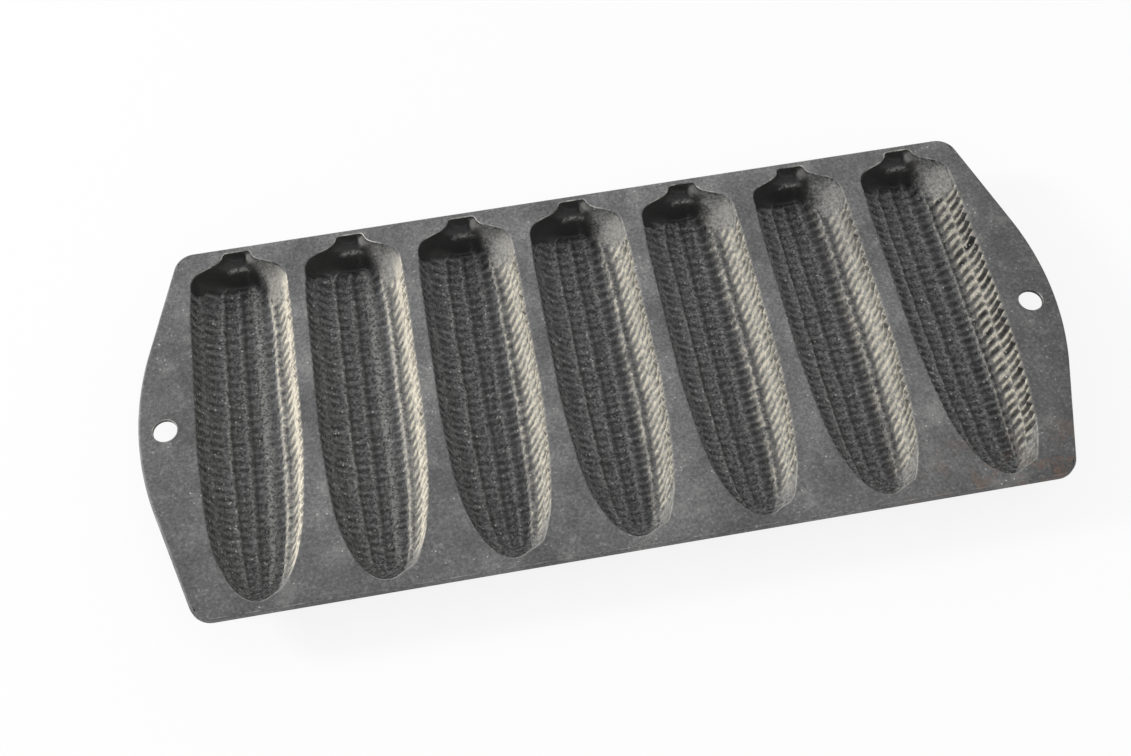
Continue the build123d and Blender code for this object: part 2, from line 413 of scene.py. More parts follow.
class Shell:
    """One closed piece of the casting, gathered point by point and face by face."""

    # Each point's marks: kernels counted along its row, its place across the row, heights of the
    # crest and the notch there, share of being in the hollow, where a pocket starts and how dark
    # its painted shade is, and the shares of dust, of wear with painted highlight, and of painted shade on
    # it
    mark_names = (
        "along", "across", "crest", "notch", "hollow", "start", "reach", "dust", "bowl", "thin",
        "wear", "soot", "rim")

    def __init__(self):
        self.points = []
        self.inward = []
        self.marks = {name: [] for name in self.mark_names}
        self.faces = []
        self.count = 0

    def add(self, points, inward=None, **marks):
        """Adds points with their marks and returns their numbers in the points' own layout."""
        points = np.asarray(points, float)
        shape = points.shape[:-1]
        flat = points.reshape(-1, 3)
        self.points.append(flat)
        self.inward.append(np.zeros_like(flat) if inward is None else np.asarray(inward).reshape(-1, 3))
        for name in self.mark_names:
            self.marks[name].append(np.broadcast_to(marks.get(name, 0.0), shape).reshape(-1))
        numbers = np.arange(self.count, self.count + len(flat)).reshape(shape)
        self.count += len(flat)
        return numbers

    def at(self, numbers):
        """Places, inward directions and marks of points added before."""
        numbers = np.asarray(numbers)
        marks = {name: np.concatenate(self.marks[name])[numbers] for name in self.mark_names}
        return np.concatenate(self.points)[numbers], np.concatenate(self.inward)[numbers], marks

    def bridge(self, ring, next_ring):
        """Quads between two closed rings of as many points."""
        quads = np.stack([ring, np.roll(ring, -1), np.roll(next_ring, -1), next_ring], axis=-1)
        self.faces.extend(quads.tolist())

    def fill(self, outer, hole=None):
        """Flat faces inside a ring, round a hole if there is one."""
        loops = [loop for loop in (outer, hole) if loop is not None]
        numbers = np.concatenate(loops)
        places = np.concatenate(self.points)
        rings = [[Vector((places[n][0], places[n][1], 0)) for n in loop] for loop in loops]
        for triangle in tessellate_polygon(rings):
            self.faces.append([int(numbers[i]) for i in triangle])

    def mesh(self, name):
        """The piece as a mesh at the origin, its faces outwards and its marks as attributes."""
        places = np.concatenate(self.points)
        mesh = bpy.data.meshes.new(name)
        mesh.from_pydata(places.tolist(), [], self.faces)
        for mark in self.mark_names:
            layer = mesh.attributes.new(mark, "FLOAT", "POINT")
            layer.data.foreach_set("value", np.concatenate(self.marks[mark]).astype(np.float32))
        layer = mesh.attributes.new("inward", "FLOAT_VECTOR", "POINT")
        layer.data.foreach_set("vector", np.concatenate(self.inward).astype(np.float32).ravel())
        work = bmesh.new()
        work.from_mesh(mesh)
        bmesh.ops.recalc_face_normals(work, faces=work.faces)
        hollow = work.verts.layers.float["hollow"]
        for face in work.faces:
            face.smooth = True
        for edge in work.edges:
            in_hollow = max(vert[hollow] for vert in edge.verts) > 0
            edge.smooth = in_hollow or edge.calc_face_angle(0) < sharp_angle
        work.to_mesh(mesh)
        work.free()
        return mesh


def tip_share(y):
    """How far y lies into the tapering tip, from 0 where it starts to 1 at its end."""
    return np.clip((tip_y + tip_taper_length - y) / tip_taper_length, 0, 1)


def half_width_at(y, inset=0.0):
    """Half width of an ear's hollow at its rim."""
    before_end = stem_y - y
    side = ear_width / 2 - inset - (y - tip_y - widest_from_tip) ** 2 / (2 * side_radius)
    body = side * np.sqrt(1 - tip_share(y) ** tip_width_power)
    butt = softened(before_end, butt_width_places, butt_half_widths, butt_softness)
    into_corner = np.clip(1 - before_end / stem_corner_radius, 0, 1)
    return np.minimum(body, butt) - stem_corner_radius * (1 - np.sqrt(1 - into_corner**2))


def depth_at(y):
    """Depth of an ear's hollow below its rim."""
    before_end = stem_y - y
    body = ear_depth * np.sqrt(1 - tip_share(y) ** tip_depth_power)
    butt = softened(before_end, butt_depth_places, butt_depths, butt_softness)
    into_end = np.clip(1 - before_end / stem_end_curve, 0, 1)
    return np.minimum(body, butt) * np.sqrt(1 - into_end**2)


def heel_at(y):
    """How much further the hollow reaches on the right of its tip."""
    return softened(y - tip_y, heel_places, heel_widths, rim_radius)


def kernels_before(row, y):
    """Kernels of one row up to a place along the ear, from the tip end of its rows."""
    share = (y - first_kernel_y) / kernel_zone_length
    growth = kernel_growth_shares[row]
    return kernels_per_row[row] * share * (1 + growth * (1 - share)) + row_starts[row]


def trough_stations(tip_steps, end_steps, body_step):
    """Places along an ear: crowded at its tip and stem end, even between them."""
    turn = np.linspace(0, np.pi / 2, tip_steps + 1)
    tip = first_kernel_y - tip_plain_length * np.cos(turn)
    end_start = stem_y - stem_end_curve
    body = np.linspace(first_kernel_y, end_start, round((end_start - first_kernel_y) / body_step) + 1)[1:]
    end = end_start + stem_end_curve * np.sin(np.linspace(0, np.pi / 2, end_steps + 1))[1:]
    return np.concatenate([tip, body, end])


def trough_faces(shell, pole, rows):
    """Faces of a trough that closes to a pole at its tip, and its rim as a closed ring."""
    for left, right in zip(rows[0][:-1], rows[0][1:]):
        shell.faces.append([int(pole), int(left), int(right)])
    quads = np.stack([rows[:-1, :-1], rows[:-1, 1:], rows[1:, 1:], rows[1:, :-1]], axis=-1)
    shell.faces.extend(quads.reshape(-1, 4).tolist())
    return np.concatenate([[pole], rows[:, -1], rows[-1, -2:0:-1], rows[::-1, 0]])


def outward_of(ring_points):
    """Outward directions in the plane of a closed ring that runs against the clock."""
    along = np.roll(ring_points, -1, axis=0) - np.roll(ring_points, 1, axis=0)
    outward = np.stack([along[:, 1], -along[:, 0], np.zeros(len(along))], axis=-1)
    return outward / np.linalg.norm(outward, axis=1, keepdims=True)


def turn_out(shell, ring, radius, guard, rubbed_and_shiny):
    """Rounds a trough's upright rim outwards into the flat above it and adds a guard strip."""
    points, inward, marks = shell.at(ring)
    outward = outward_of(points)
    radius = np.broadcast_to(radius, len(ring))[:, None]
    guard = np.broadcast_to(guard, len(ring))[:, None]
    up = np.array([0.0, 0.0, 1.0])
    previous = ring
    for step in range(1, rounding_steps + 1):
        turn = np.pi / 2 * step / rounding_steps
        place = points + outward * radius * (1 - np.cos(turn)) + up * radius * np.sin(turn)
        marks["rim"] = rubbed_and_shiny * np.sin(2 * min(turn, np.pi / 2 - turn) + rim_shine_spread)
        marks["hollow"] = marks["hollow"] * (1 - step / rounding_steps)
        following = shell.add(place, inward, **marks)
        shell.bridge(previous, following)
        previous = following
    last = points + outward * (radius + guard) + up * radius
    guard_ring = shell.add(last)
    shell.bridge(previous, guard_ring)
    return guard_ring


def inward_of(points):
    """Directions into the hollow, square to a grid of points on its wall."""
    along = np.gradient(points, axis=0)
    across = np.gradient(points, axis=1)
    inward = np.cross(across, along)
    return inward / np.maximum(np.linalg.norm(inward, axis=-1, keepdims=True), 1e-12)


def row_columns(stray):
    """Angle, row and place between its two crests, from -1 to 1, of each column of points."""
    edges = row_edge_angles.copy()
    edges[-3] += stray
    turn = np.sin(np.linspace(-np.pi / 2, np.pi / 2, columns_per_row + 1))
    angles, rows, across = [edges[:1]], [np.zeros(1, int)], [np.zeros(1)]
    for row in range(last_row + 1):
        low, high = edges[row:row + 2]
        angles.append(low + (high - low) * (turn[1:] + 1) / 2)
        rows.append(np.full(columns_per_row, row))
        share = turn[1:].copy()
        if row == 0:
            share = np.maximum(share, 0)
        if row == last_row:
            share = np.minimum(share, 0)
        across.append(share)
    return np.concatenate(angles), np.concatenate(rows), np.concatenate(across)


def kernel_marks(wall):
    """Marks of the rows, crests and notches in one hollow."""
    ear, angles, rows = wall.ear, wall.angles, wall.rows
    slants = last_slant_places if ear == last_ear else slant_places
    slanted_y = wall.y - np.interp(angles, slant_angles, slants)
    along = np.stack([kernels_before(row, slanted_y[:, n]) for n, row in enumerate(rows)], axis=1)
    along = along + rows * row_number_step + ear * kernel_shift

    # Crests rise and sink like a string of beads
    edge = rows + (wall.across > 0)
    bead = [np.cos(2 * np.pi * kernels_before(min(n, last_row), wall.y[:, 0])) for n in edge]
    crest = crest_heights[edge] * (1 - bead_depth_share * (0.5 - 0.5 * np.stack(bead, axis=1)))
    crest = crest * np.where(edge == last_row, last_crest_shares[ear], 1)
    notch = notch_height_shares[rows] * wall.shaded
    notch = notch * (1 + rim_notch_growths[ear] * smooth_step(angles, *rim_notch_angles))
    wide = smooth_step(angles, *right_row_angles) if ear == last_ear else 0 * angles
    return {
        "along": along, "across": wall.across, "crest": crest * wall.relief,
        "notch": notch * wall.relief,
        "start": crest_start_share + (last_crest_start_share - crest_start_share) * wide,
        "reach": 1 + (last_pocket_shade_level - 1) * wide}


def relief_share(wall, width_share):
    """How far the kernels stand out: they fade at the tip, the left rim and the end wall."""
    plain = np.interp(np.abs(wall.angles), tip_plain_angles, tip_plain_lengths)
    relief = smooth_step(wall.y - first_kernel_y - plain, -tip_plain_fade / 2, tip_plain_fade / 2)
    fades = row_end_fade + (right_end_fade - row_end_fade) * smooth_step(wall.angles, *bowl_angles)
    relief = relief * smooth_step((wall.row_end - wall.y) / fades, 0, 1) * width_share[:, None]
    left_rim = smooth_step(-wall.angles, *left_rim_angles)
    return relief * (1 - (1 - left_rim_relief_share) * left_rim)


def soft_lines(wall, angles, widths, levels):
    """Strongest of soft lines along a hollow, each at its own angle round it."""
    lines = [level * np.exp(-((wall.placed - angle) / width) ** 2)
             for angle, width, level in zip(angles, widths, levels)]
    return np.max(lines, axis=0)


def rub_and_highlight_mark(wall):
    """Bare iron with a painted highlight along the crests, and a painted highlight on the lip before the
    stem.
    """
    broad = wall.ear < broad_pale_ears
    widths = broad_pale_widths if broad else pale_crest_widths
    levels = broad_pale_levels if broad else pale_crest_levels
    # Painted highlight on the lip before the stem
    lip = np.exp(-((wall.depth - lip_depth) / lip_width) ** 2)
    lip = lip * np.interp(stem_y - wall.y, lip_places, [0, 1, 1, 0])
    lip = lip * smooth_step(lip_half_length - np.abs(wall.x), -lip_end_fade, lip_end_fade)
    return np.maximum(soft_lines(wall, pale_crest_angles, widths, levels) * wall.relief, lip)


def shade_paint_mark(wall):
    """Painted shade beside the crests, on the left and on the end wall but for its ridge."""
    bands = soft_lines(wall, shade_paint_angles, shade_paint_widths, shade_paint_levels)
    bands = np.maximum(bands, left_shade_paint_level * smooth_step(-wall.placed, *left_shade_paint_angles))
    on_wall = smooth_step(wall.y - wall.foot, *wall_shade_paint_places)
    on_wall = on_wall * smooth_step(-wall.x, *wall_shade_paint_sides)
    ridge = ridge_share * smooth_step(-wall.y, *ridge_places)
    ridge = 1 - ridge * np.exp(-((wall.placed - ridge_angle) / ridge_width) ** 2)
    return np.maximum(bands * wall.relief, wall_shade_paint_level * on_wall * ridge)


def dust_mark(wall):
    """Flour dust on the right wall, rubbed off here and there, and thinned in the shaded band to paint its
    shade.
    """
    ear, placed, y = wall.ear, wall.placed, wall.y
    dust = smooth_step(placed, dust_angles[ear] - dust_fade, dust_angles[ear] + dust_fade)
    heavy = heavy_dust_shares[ear] * smooth_step(placed, *heavy_dust_angles)
    heavy = heavy * smooth_step(-y, *heavy_dust_places)
    bare = bare_shares[ear] * smooth_step(y, *bare_places)
    # Dust thins in the shaded band beside the strayed crest: painted shade
    dust = dust * wall.shaded**shade_powers[ear] * (1 + heavy) * (1 - bare)
    dust = dust * (1 - stem_bare_share * smooth_step(y, *stem_bare_places))
    dust = dust * (1 - tip_bare_share * smooth_step(-y, *tip_bare_places))
    near_rim = 1 - smooth_step(wall.depth, *rim_bare_depths)
    return dust * (1 - near_rim * smooth_step(y, *rim_bare_places)) * dust_shares[ear]


def hollow(shell, centre_x, ear):
    """Hollow of one ear with its rows of kernels laid out, and the ring round it on the plate."""
    y = trough_stations(*hollow_steps, station_step)
    angles, rows, across = row_columns(crest_strays[ear])
    width, depth = half_width_at(y, rim_inset), depth_at(y)
    width_share = width / width.max()
    extra_share = width_share * smooth_step(stem_y - y, *extra_places)
    left, right = width + left_extras[ear] * extra_share, width + right_extras[ear] * extra_share
    right = right + heel_shares[ear] * heel_at(y)
    x = np.where(angles > 0, right[:, None], left[:, None]) * np.sin(angles)
    into_bowl = np.clip((bowl_start - stem_y + y) / (bowl_start - bowl_end), 0, 1)
    rise = bowl_rise_share * np.outer(into_bowl**bowl_power, smooth_step(angles, *bowl_angles))
    drop = np.outer(np.maximum(depth - rim_radius, 0), np.cos(angles)) * (1 - rise)
    z = plate_top - rim_radius - drop
    spread_y = np.repeat(y[:, None], len(angles), axis=1)
    middle = centre_x + stem_shift * smooth_step(y, last_kernel_y, stem_y)
    points = np.stack([x + middle[:, None], spread_y, z], axis=-1)
    inward = inward_of(points)

    # Where each point lies among the rows, for the marks that shape and colour the wall
    wall = SimpleNamespace(
        ear=ear, x=x, y=spread_y, depth=plate_top - z, angles=angles, rows=rows, across=across)
    wall.placed = angles - crest_strays[ear] * smooth_step(angles, *row_edge_angles[4:6])
    wall.foot = foot_y - foot_setback * np.abs(x / foot_reach) ** foot_power
    wall.row_end = np.minimum(wall.foot, np.interp(angles, row_end_angles, row_end_places))
    shade = 1 - np.interp(wall.placed, shaded_angles, shaded_levels)
    wall.shaded = 1 - shade * smooth_step(wall.row_end - wall.y, *shaded_end_places)
    wall.relief = relief_share(wall, width_share)
    marks = kernel_marks(wall)
    marks["dust"] = dust_mark(wall)
    marks["bowl"] = smooth_step(wall.placed, *bowl_angles) * smooth_step(spread_y, *bowl_dust_places)
    marks["thin"] = thin_shares[ear] * (1 - smooth_step(wall.placed, *thin_angles))
    # Bare crests with painted highlight, and a painted highlight on the lip
    marks["wear"] = rub_and_highlight_mark(wall)
    # Painted shade beside the crests, on the left wall and on the end wall
    marks["soot"] = shade_paint_mark(wall)
    marks = {name: np.broadcast_to(mark, x.shape)[1:] for name, mark in marks.items()}

    # The first station is a single point at the tip
    pole = shell.add(points[0, :1], hollow=1.0)[0]
    grid = shell.add(points[1:], inward[1:], hollow=1.0, **marks)
    ring = trough_faces(shell, pole, grid)
    ring_y = shell.at(ring)[0][:, 1]
    # The rims are paler towards the stem and the tip: wear with painted shine
    rubbed_and_shiny = rim_rub_and_shine + (1 - rim_rub_and_shine) * smooth_step(ring_y, foot_y - foot_setback, foot_y)
    rubbed_and_shiny = rubbed_and_shiny + (tip_rim_rub_and_shine - rim_rub_and_shine) * smooth_step(-ring_y, *tip_rim_places)
    return turn_out(shell, ring, rim_radius, guard_strip, rubbed_and_shiny)


def cup(shell, centre_x):
    """Outside of one ear under the plate, and the ring round it on the plate's underside."""
    y = trough_stations(*cup_steps, cup_step)
    from_middle = (y - (tip_y + stem_y) / 2) / ((stem_y - tip_y) / 2)
    width, depth = half_width_at(y), depth_at(y)
    width = width + side_wall * np.sqrt(width / (ear_width / 2))
    room = ear_pitch / 2 - width
    fillet = np.clip(room * fillet_room_share, 0, cup_fillet) * np.sqrt(depth / ear_depth)
    below = (plate_bottom - fillet) * depth / ear_depth
    flat_lift = 1 / np.sqrt(1 - (flat_half_width / (ear_width / 2 + side_wall)) ** 2)
    angles = np.linspace(-np.pi / 2, np.pi / 2, cup_columns)
    x = np.outer(width, np.sin(angles))
    drop = np.minimum(np.outer(below * flat_lift, np.cos(angles)), below[:, None])
    z = (plate_bottom - fillet)[:, None] - drop
    placed_y = y + end_wall * from_middle
    points = np.stack([x + centre_x, np.repeat(placed_y[:, None], len(angles), axis=1), z], axis=-1)
    pole = shell.add(points[0, :1])[0]
    rows = shell.add(points[1:])
    ring = trough_faces(shell, pole, rows)
    ends = len(angles) - 2
    ring_fillet = np.concatenate([fillet, np.full(ends, fillet[-1]), fillet[:0:-1]])
    ring_room = np.concatenate([room, np.full(ends, room[-1]), room[:0:-1]])
    guard = np.minimum(guard_strip, ring_room * guard_room_share)
    return turn_out(shell, ring, ring_fillet, guard, 0.0)


def plate_outline():
    """Corner and rounded end of the plate's outline, back right quarter, with outward directions."""
    corner = np.array([row_end_x, half_width])
    shoulder = np.array([row_end_x + end_reach * shoulder_reach_share, half_width * shoulder_width_share])
    run = (shoulder - corner) / np.linalg.norm(shoulder - corner)
    normal = np.array([-run[1], run[0]])
    half_turn = np.arctan2(normal[1], normal[0])
    turn = np.linspace(np.pi / 2, half_turn, corner_steps)
    tangent = corner_radius * np.tan((np.pi / 2 - half_turn) / 2)
    centre = np.array([row_end_x - tangent, half_width - corner_radius])
    arc = centre + corner_radius * np.stack([np.cos(turn), np.sin(turn)], axis=-1)
    arc_out = np.stack([np.cos(turn), np.sin(turn)], axis=-1)
    bow = row_end_x + end_reach - shoulder[0]
    bow_radius = (shoulder[1] ** 2 + bow**2) / (2 * bow)
    reach = np.arcsin(shoulder[1] / bow_radius)
    swing = np.linspace(reach, 0, bow_steps)
    bow_out = np.stack([np.cos(swing), np.sin(swing)], axis=-1)
    bow_points = bow_out * bow_radius + [row_end_x + end_reach - bow_radius, 0]
    points = np.concatenate([arc, bow_points])
    outs = np.concatenate([arc_out, bow_out])
    return points, outs


def quarter_between(low_x, high_x):
    """Back right quarter of the plate's outline from low_x to high_x, left to right."""
    points, outs = plate_outline()
    x = points[:, 0]
    inside = (x > low_x) & (x < high_x)
    keep_points, keep_outs = points[inside], outs[inside]
    ends = []
    for place in (low_x, high_x):
        if place >= x[-1]:
            ends.append(None)
            continue
        y = half_width if place <= x[0] else np.interp(place, x, points[:, 1])
        out = [np.interp(place, x, outs[:, 0]), np.interp(place, x, outs[:, 1])]
        if place <= x[0]:
            out = [0.0, 1.0]
        ends.append((np.array([[place, y]]), np.array([[0.0, 1.0 / out[1]]]) if out[1] else None))
    if ends[0] is not None:
        keep_points = np.concatenate([ends[0][0], keep_points])
        keep_outs = np.concatenate([ends[0][1], keep_outs])
    if ends[1] is not None:
        keep_points = np.concatenate([keep_points, ends[1][0]])
        keep_outs = np.concatenate([keep_outs, ends[1][1]])
    else:
        keep_points = np.concatenate([keep_points, points[-1:]])
        keep_outs = np.concatenate([keep_outs, outs[-1:]])
    return keep_points, keep_outs


def cell_outline(low_x, high_x):
    """Closed outline of the plate from low_x to high_x, against the clock, with its directions."""
    if abs(low_x) > abs(high_x):
        points, outs = cell_outline(-high_x, -low_x)
        mirror = np.array([-1.0, 1.0])
        return (points * mirror)[::-1], (outs * mirror)[::-1]
    points, outs = quarter_between(low_x, high_x)
    flip = np.array([1.0, -1.0])
    ends_in_point = points[-1][1] < guard_strip
    back = slice(None, -1) if ends_in_point else slice(None)
    front_points, front_outs = points * flip, outs * flip
    back_points, back_outs = points[back][::-1], outs[back][::-1]
    return np.concatenate([front_points, back_points]), np.concatenate([front_outs, back_outs])


def plate_edges(shell, low_x, high_x):
    """Rounded outer edges of a piece of the plate; returns the rings for its top and underside."""
    outline, outs = cell_outline(low_x, high_x)
    turns = np.linspace(0, np.pi / 2, rounding_steps + 1)
    insets = [edge_radius + guard_strip] + list(edge_radius * (1 - np.sin(turns)))
    drops = [0.0] + list(edge_radius * (1 - np.cos(turns)))
    wear = [0.0] + list(edge_rub_and_shine * np.sin(2 * np.minimum(turns, np.pi / 2 - turns) + edge_shine_spread))
    rings = []
    for inset, drop, rubbed_and_shiny in zip(insets, drops, wear):
        place = outline - outs * inset
        points = np.column_stack([place, np.full(len(place), plate_top - drop)])
        rings.append(shell.add(points, rim=rubbed_and_shiny))
    for inset, drop, rubbed_and_shiny in zip(insets[::-1], drops[::-1], wear[::-1]):
        place = outline - outs * inset
        points = np.column_stack([place, np.full(len(place), plate_bottom + drop)])
        rings.append(shell.add(points, rim=rubbed_and_shiny * underside_shine_share))
    for ring, following in zip(rings[:-1], rings[1:]):
        shell.bridge(ring, following)
    return rings[0], rings[-1]


def corn_ear_mould(ear):
    """One ear mould: its slice of the plate, its hollow and the cup under it."""
    shell = Shell()
    low_x = -row_end_x + ear * ear_pitch
    top_ring, bottom_ring = plate_edges(shell, low_x, low_x + ear_pitch)
    rim_ring = hollow(shell, low_x + ear_pitch / 2, ear)
    cup_ring = cup(shell, low_x + ear_pitch / 2)
    shell.fill(top_ring, rim_ring)
    shell.fill(bottom_ring, cup_ring)
    return shell.mesh(f"corn_ear_{ear + 1}")


def hanging_end(side):
    """One rounded end of the plate with its hanging hole."""
    shell = Shell()
    low_x, high_x = sorted((side * row_end_x, side * (row_end_x + end_reach)))
    top_ring, bottom_ring = plate_edges(shell, low_x, high_x)
    name = "right" if side > 0 else "left"
    hole_x, hole_y = hole_centres[name]
    round_turn = np.linspace(0, 2 * np.pi, hole_steps, endpoint=False)
    circle = np.stack([np.cos(round_turn), np.sin(round_turn)], axis=-1)
    turns = np.linspace(0, np.pi / 2, rounding_steps + 1)
    flare = (plate_thickness - hole_straight_length) * np.tan(hole_flare_angle)
    profile = [(hole_rim_radius + guard_strip, 0.0, 0.0)]
    for turn in turns:
        rubbed_and_shiny = np.sin(2 * min(turn, np.pi / 2 - turn) + rim_shine_spread)
        profile.append((hole_rim_radius * (1 - np.sin(turn)), hole_rim_radius * (1 - np.cos(turn)), rubbed_and_shiny))
    profile.append((0.0, hole_straight_length, 0.0))
    profile.append((flare, plate_thickness, 0.0))
    profile.append((flare + guard_strip, plate_thickness, 0.0))
    rings = []
    for more, drop, rubbed_and_shiny in profile:
        place = circle * (hole_radius + more) + [hole_x, hole_y]
        points = np.column_stack([place, np.full(len(place), plate_top - drop)])
        rings.append(shell.add(points, rim=rubbed_and_shiny))
    for ring, following in zip(rings[:-1], rings[1:]):
        shell.bridge(ring, following)
    shell.fill(top_ring, rings[0])
    shell.fill(bottom_ring, rings[-1])
    return shell.mesh(f"hanging_end_{name}")


def kernel_relief_tree():
    """Geometry nodes that raise crests between the rows and notches between the kernels."""
    tree = bpy.data.node_groups.new("corn kernel relief", "GeometryNodeTree")
    node = partial(add_node, tree)
    face = tree.interface
    face.new_socket("Geometry", in_out="INPUT", socket_type="NodeSocketGeometry")
    for name in (
            "Notch Height", "Notch Back", "Notch Power", "Wander", "Wander Length",
            "Grain Height", "Grain Length"):
        face.new_socket(name, in_out="INPUT", socket_type="NodeSocketFloat")
    face.new_socket("Seed", in_out="INPUT", socket_type="NodeSocketInt")
    face.new_socket("Iron", in_out="INPUT", socket_type="NodeSocketMaterial")
    face.new_socket("Geometry", in_out="OUTPUT", socket_type="NodeSocketGeometry")
    sizes = node("NodeGroupInput").outputs
    marks = {
        name: node("GeometryNodeInputNamedAttribute", {"Name": name}, data_type="FLOAT")
        for name in ("along", "across", "crest", "notch", "hollow", "start", "reach")}
    inward = node("GeometryNodeInputNamedAttribute", {"Name": "inward"}, data_type="FLOAT_VECTOR")

    # Nearness to the next notch, from 0 to 1, with its slope on the butt side given as a share
    part = node("ShaderNodeMath", {0: marks["along"]}, operation="FRACT")
    after = node(
        "ShaderNodeMapRange",
        {"Value": part, "From Max": sizes["Notch Back"], "To Min": 1.0, "To Max": 0.0})
    before = node("ShaderNodeMapRange", {"Value": part, "From Min": sizes["Notch Back"]})
    near = node("ShaderNodeMath", {0: after, 1: before}, operation="MAXIMUM")
    notch_share = node("ShaderNodeMath", {0: near, 1: sizes["Notch Power"]}, operation="POWER")
    side = node("ShaderNodeMath", {0: marks["across"]}, operation="ABSOLUTE")
    crest_share = node(
        "ShaderNodeMapRange", {"Value": side, "From Min": marks["start"]},
        interpolation_type="SMOOTHSTEP")

    # No two notches are equally high
    number = node("ShaderNodeMath", {0: marks["along"], 1: sizes["Notch Back"]}, operation="SUBTRACT")
    whole = node("FunctionNodeFloatToInt", {0: number}, rounding_mode="FLOOR")
    uneven = node(
        "FunctionNodeRandomValue",
        {2: uneven_low, 3: uneven_high, "ID": whole, "Seed": sizes["Seed"]}, data_type="FLOAT")
    beside = node("ShaderNodeMath", {0: 1.0, 1: crest_share}, operation="SUBTRACT")
    height = node("ShaderNodeMath", {0: uneven, 1: sizes["Notch Height"]}, operation="MULTIPLY")
    height = node("ShaderNodeMath", {0: height, 1: marks["notch"]}, operation="MULTIPLY")
    notch_rise = node("ShaderNodeMath", {0: notch_share, 1: height}, operation="MULTIPLY")
    notch_rise = node("ShaderNodeMath", {0: notch_rise, 1: beside}, operation="MULTIPLY")
    rise = node(
        "ShaderNodeMath", {0: crest_share, 1: marks["crest"], 2: notch_rise},
        operation="MULTIPLY_ADD")

    # Grain of the sand mould, coarse enough to be a shape of its own
    place = node("GeometryNodeInputPosition")
    seed_w = node("ShaderNodeMath", {0: sizes["Seed"], 1: seed_spacing}, operation="MULTIPLY")
    grain_scale = node("ShaderNodeMath", {0: 1.0, 1: sizes["Grain Length"]}, operation="DIVIDE")
    grain = node(
        "ShaderNodeTexNoise",
        {"Vector": place, "W": seed_w, "Scale": grain_scale, "Detail": 2.0, "Roughness": 0.7},
        noise_dimensions="4D")
    grain_off = node("ShaderNodeMath", {0: grain, 1: 0.5}, operation="SUBTRACT")
    grain_reach = node(
        "ShaderNodeMath", {0: marks["hollow"], 1: sizes["Grain Height"]}, operation="MULTIPLY")
    rise = node("ShaderNodeMath", {0: grain_off, 1: grain_reach, 2: rise}, operation="MULTIPLY_ADD")
    move = node("ShaderNodeVectorMath", {0: inward, "Scale": rise}, operation="SCALE")

    # The rows wander a little below the rim
    wander_scale = node("ShaderNodeMath", {0: 1.0, 1: sizes["Wander Length"]}, operation="DIVIDE")
    wander = node(
        "ShaderNodeTexNoise",
        {"Vector": place, "W": seed_w, "Scale": wander_scale, "Detail": 1.0}, noise_dimensions="4D")
    centred = node(
        "ShaderNodeVectorMath", {0: wander.outputs["Color"], 1: (0.5, 0.5, 0.5)}, operation="SUBTRACT")
    split = node("ShaderNodeSeparateXYZ", {0: place})
    inside = node(
        "ShaderNodeMapRange",
        {"Value": split.outputs["Z"], "From Min": plate_top - wander_depth,
         "From Max": plate_top - rim_radius, "To Min": 1.0, "To Max": 0.0})
    reach = node("ShaderNodeMath", {0: marks["hollow"], 1: sizes["Wander"]}, operation="MULTIPLY")
    reach = node("ShaderNodeMath", {0: reach, 1: inside}, operation="MULTIPLY")
    stray = node("ShaderNodeVectorMath", {0: centred, "Scale": reach}, operation="SCALE")
    total = node("ShaderNodeVectorMath", {0: move, 1: stray}, operation="ADD")
    moved = node("GeometryNodeSetPosition", {"Geometry": sizes["Geometry"], "Offset": total})

    # Painted shade: a black patch in the front half of each kernel's pocket, where the pocket lies in shade
    from_pocket = node("ShaderNodeMath", {0: part, 1: sizes["Notch Back"]}, operation="SUBTRACT")
    from_pocket = node("ShaderNodeMath", {0: from_pocket, 1: pocket_offset_share}, operation="SUBTRACT")
    from_pocket = node("ShaderNodeMath", {0: from_pocket}, operation="ABSOLUTE")
    pocket_length = node(
        "ShaderNodeMapRange",
        {"Value": from_pocket, "From Min": pocket_end_shares[0], "From Max": pocket_end_shares[1],
         "To Min": 1.0, "To Max": 0.0}, interpolation_type="SMOOTHSTEP")
    pocket_end = node("ShaderNodeMath", {0: marks["start"], 1: pocket_side_share}, operation="ADD")
    pocket_width = node(
        "ShaderNodeMapRange",
        {"Value": side, "From Min": marks["start"], "From Max": pocket_end, "To Min": 1.0,
         "To Max": 0.0})
    pocket_reach = node(
        "ShaderNodeMapRange",
        {"Value": marks["notch"], "From Max": pocket_notch_share, "To Max": marks["reach"]})
    pocket = node("ShaderNodeMath", {0: pocket_length, 1: pocket_width}, operation="MULTIPLY")
    pocket = node("ShaderNodeMath", {0: pocket, 1: pocket_reach}, operation="MULTIPLY")

    # Tops of the notches, for their dust, painted highlight and painted glints, and the pockets' painted
    # shade
    rung = node("ShaderNodeMath", {0: notch_share, 1: marks["notch"]}, operation="MULTIPLY")
    marked = moved
    for name, value in (("rung", rung), ("pocket", pocket)):
        marked = node(
            "GeometryNodeStoreNamedAttribute", {"Geometry": marked, "Name": name, "Value": value},
            data_type="FLOAT", domain="POINT")
    whole_mesh = node("GeometryNodeRealizeInstances", {0: marked})
    coated = node("GeometryNodeSetMaterial", {"Geometry": whole_mesh, "Material": sizes["Iron"]})
    node("NodeGroupOutput", {0: coated})
    return tree


